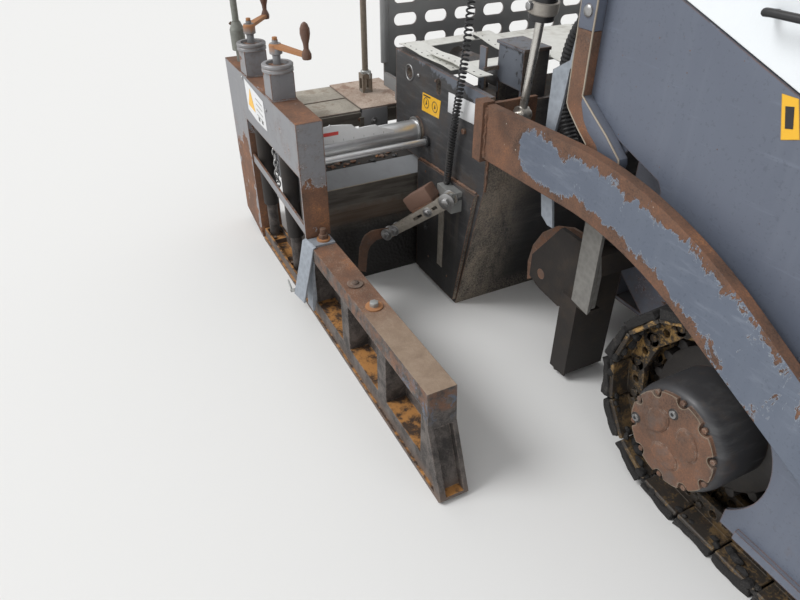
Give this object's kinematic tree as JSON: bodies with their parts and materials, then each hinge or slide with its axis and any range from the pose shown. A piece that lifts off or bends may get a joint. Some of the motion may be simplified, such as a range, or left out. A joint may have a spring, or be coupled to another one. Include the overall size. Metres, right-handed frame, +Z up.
{
  "type": "compact tracked asphalt paver",
  "caption": "Compact tracked asphalt paver with a folding hopper, twin augers and a towed telescoping screed with sliding end gates.",
  "frame": {"origin": "on the ground under the middle of the machine's length and width", "axes": "+X forward, the way it travels, +Y to its left, +Z up"},
  "size_m": [5.01, 2.96, 2.1449],
  "materials": {
    "grey_paint": "worn blue-grey paint with rust at the edges",
    "white_paint": "clean white paint",
    "dark_paint": "dark grey paint",
    "worn_steel": "dark worn steel with remains of paint",
    "rusty_steel": "brown rust over old paint",
    "bare_steel": "bare machined steel",
    "chromed_steel": "chromed rod",
    "galvanised": "galvanised steel",
    "track_rubber": "worn rubber pads on ochre dusty steel links",
    "rail_paint": "yellow paint",
    "seat_vinyl": "black vinyl",
    "cord_rubber": "black curly cord sheath",
    "hose_rubber": "black corrugated hose sleeve",
    "cast_dark": "dark oily casting"
  },
  "bodies": {
    "tractor": {"chassis": "grey_paint", "tunnel": "grey_paint", "bulkheads": "grey_paint", "brackets": "grey_paint", "conveyor": "bare_steel", "side_panels": "grey_paint", "bodywork": "white_paint", "engine": "cast_dark", "platform": "dark_paint", "console": "dark_paint", "seats": "seat_vinyl", "handrails": "rail_paint", "exhaust": "bare_steel", "lamps": "dark_paint", "track_right": "track_rubber", "track_left": "track_rubber", "track_frames": "grey_paint", "final_drives": "cast_dark", "track_wheels": "cast_dark", "push_beam": "grey_paint", "auger_support": "rusty_steel", "hydraulic_hose": "hose_rubber"},
    "hood": {"hood_lid": "white_paint"},
    "screed": {"screed_frame": "worn_steel", "screed_covers": "white_paint", "tow_arms": "grey_paint", "guard_plate": "dark_paint", "feed_sensors": "galvanised", "control_boxes": "dark_paint", "sensor_cord_right": "cord_rubber", "sensor_cord_left": "cord_rubber"},
    "auger_right": {"auger_right": "rusty_steel"},
    "push_roller_right": {"push_roller_right": "bare_steel"},
    "wing_right": {"wing_right": "grey_paint"},
    "wing_barrel_right": {"wing_barrel_right": "dark_paint"},
    "wing_rod_right": {"wing_rod_right": "chromed_steel"},
    "lift_barrel_right": {"lift_barrel_right": "dark_paint"},
    "lift_rod_right": {"lift_rod_right": "chromed_steel"},
    "extension_right": {"ext_box_right": "worn_steel", "ext_tubes_right": "chromed_steel", "portal_right": "grey_paint"},
    "gate_right": {"skid_right": "rusty_steel"},
    "auger_left": {"auger_left": "rusty_steel"},
    "push_roller_left": {"push_roller_left": "bare_steel"},
    "wing_left": {"wing_left": "grey_paint"},
    "wing_barrel_left": {"wing_barrel_left": "dark_paint"},
    "wing_rod_left": {"wing_rod_left": "chromed_steel"},
    "lift_barrel_left": {"lift_barrel_left": "dark_paint"},
    "lift_rod_left": {"lift_rod_left": "chromed_steel"},
    "extension_left": {"ext_box_left": "worn_steel", "ext_tubes_left": "chromed_steel", "portal_left": "grey_paint"},
    "gate_left": {"skid_left": "rusty_steel"}
  },
  "joints": [
    {"name": "hood_hinge", "type": "hinge", "parent": "tractor", "child": "hood", "pos_m": [0.146, 0, 1.608], "axis": [0, -1, 0], "range_deg": [0, 50]},
    {"name": "screed_lift", "type": "hinge", "parent": "tractor", "child": "screed", "pos_m": [1, 0, 0.402], "axis": [0, 1, 0], "range_deg": [0, 7]},
    {"name": "auger_spin_right", "type": "hinge", "parent": "tractor", "child": "auger_right", "pos_m": [-0.97, -0.4, 0.33], "axis": [0, 1, 0], "continuous": true},
    {"name": "push_roller_spin_right", "type": "hinge", "parent": "tractor", "child": "push_roller_right", "pos_m": [2.45, -0.365, 0.45], "axis": [0, 1, 0], "continuous": true},
    {"name": "wing_fold_right", "type": "hinge", "parent": "tractor", "child": "wing_right", "pos_m": [1.7, -0.6, 0.715], "axis": [-1, 0, 0], "range_deg": [0, 45]},
    {"name": "wing_cylinder_right", "type": "hinge", "parent": "tractor", "child": "wing_barrel_right", "pos_m": [2.19, -0.67, 0.33], "axis": [-1, 0, 0], "range_deg": [0, 27]},
    {"name": "wing_rod_slide_right", "type": "slide", "parent": "wing_barrel_right", "child": "wing_rod_right", "axis": [0, -0.6385, 0.7696], "range_m": [0, 0.2]},
    {"name": "lift_cylinder_right", "type": "hinge", "parent": "tractor", "child": "lift_barrel_right", "pos_m": [-1.006, -0.85, 1.5], "axis": [0, 1, 0], "range_deg": [-6.5, 0.1]},
    {"name": "lift_rod_slide_right", "type": "slide", "parent": "lift_barrel_right", "child": "lift_rod_right", "axis": [-0.1363, 0, -0.9907], "range_m": [-0.27, 0.001]},
    {"name": "extend_right", "type": "slide", "parent": "screed", "child": "extension_right", "axis": [0, -1, 0], "range_m": [-0.44, 0.16]},
    {"name": "gate_height_right", "type": "slide", "parent": "extension_right", "child": "gate_right", "axis": [0, 0, 1], "range_m": [-0.1, 0]},
    {"name": "auger_spin_left", "type": "hinge", "parent": "tractor", "child": "auger_left", "pos_m": [-0.97, 0.4, 0.33], "axis": [0, 1, 0], "continuous": true},
    {"name": "push_roller_spin_left", "type": "hinge", "parent": "tractor", "child": "push_roller_left", "pos_m": [2.45, 0.365, 0.45], "axis": [0, 1, 0], "continuous": true},
    {"name": "wing_fold_left", "type": "hinge", "parent": "tractor", "child": "wing_left", "pos_m": [1.7, 0.6, 0.715], "axis": [1, 0, 0], "range_deg": [0, 45]},
    {"name": "wing_cylinder_left", "type": "hinge", "parent": "tractor", "child": "wing_barrel_left", "pos_m": [2.19, 0.67, 0.33], "axis": [1, 0, 0], "range_deg": [0, 27]},
    {"name": "wing_rod_slide_left", "type": "slide", "parent": "wing_barrel_left", "child": "wing_rod_left", "axis": [0, 0.6385, 0.7696], "range_m": [0, 0.2]},
    {"name": "lift_cylinder_left", "type": "hinge", "parent": "tractor", "child": "lift_barrel_left", "pos_m": [-1.006, 0.85, 1.5], "axis": [0, 1, 0], "range_deg": [-6.5, 0.1]},
    {"name": "lift_rod_slide_left", "type": "slide", "parent": "lift_barrel_left", "child": "lift_rod_left", "axis": [-0.1363, 0, -0.9907], "range_m": [-0.27, 0.001]},
    {"name": "extend_left", "type": "slide", "parent": "screed", "child": "extension_left", "axis": [0, 1, 0], "range_m": [-0.44, 0.16]},
    {"name": "gate_height_left", "type": "slide", "parent": "extension_left", "child": "gate_left", "axis": [0, 0, 1], "range_m": [-0.1, 0]}
  ],
  "couplings": [
    {"joint": "wing_cylinder_right", "follows": "wing_fold_right", "ratio": 0.567},
    {"joint": "wing_rod_slide_right", "follows": "wing_fold_right", "m_per_rad": 0.234},
    {"joint": "lift_cylinder_right", "follows": "screed_lift", "ratio": -0.876},
    {"joint": "lift_rod_slide_right", "follows": "screed_lift", "m_per_rad": -2.102},
    {"joint": "wing_cylinder_left", "follows": "wing_fold_left", "ratio": 0.567},
    {"joint": "wing_rod_slide_left", "follows": "wing_fold_left", "m_per_rad": 0.234},
    {"joint": "lift_cylinder_left", "follows": "screed_lift", "ratio": -0.876},
    {"joint": "lift_rod_slide_left", "follows": "screed_lift", "m_per_rad": -2.102}
  ]
}
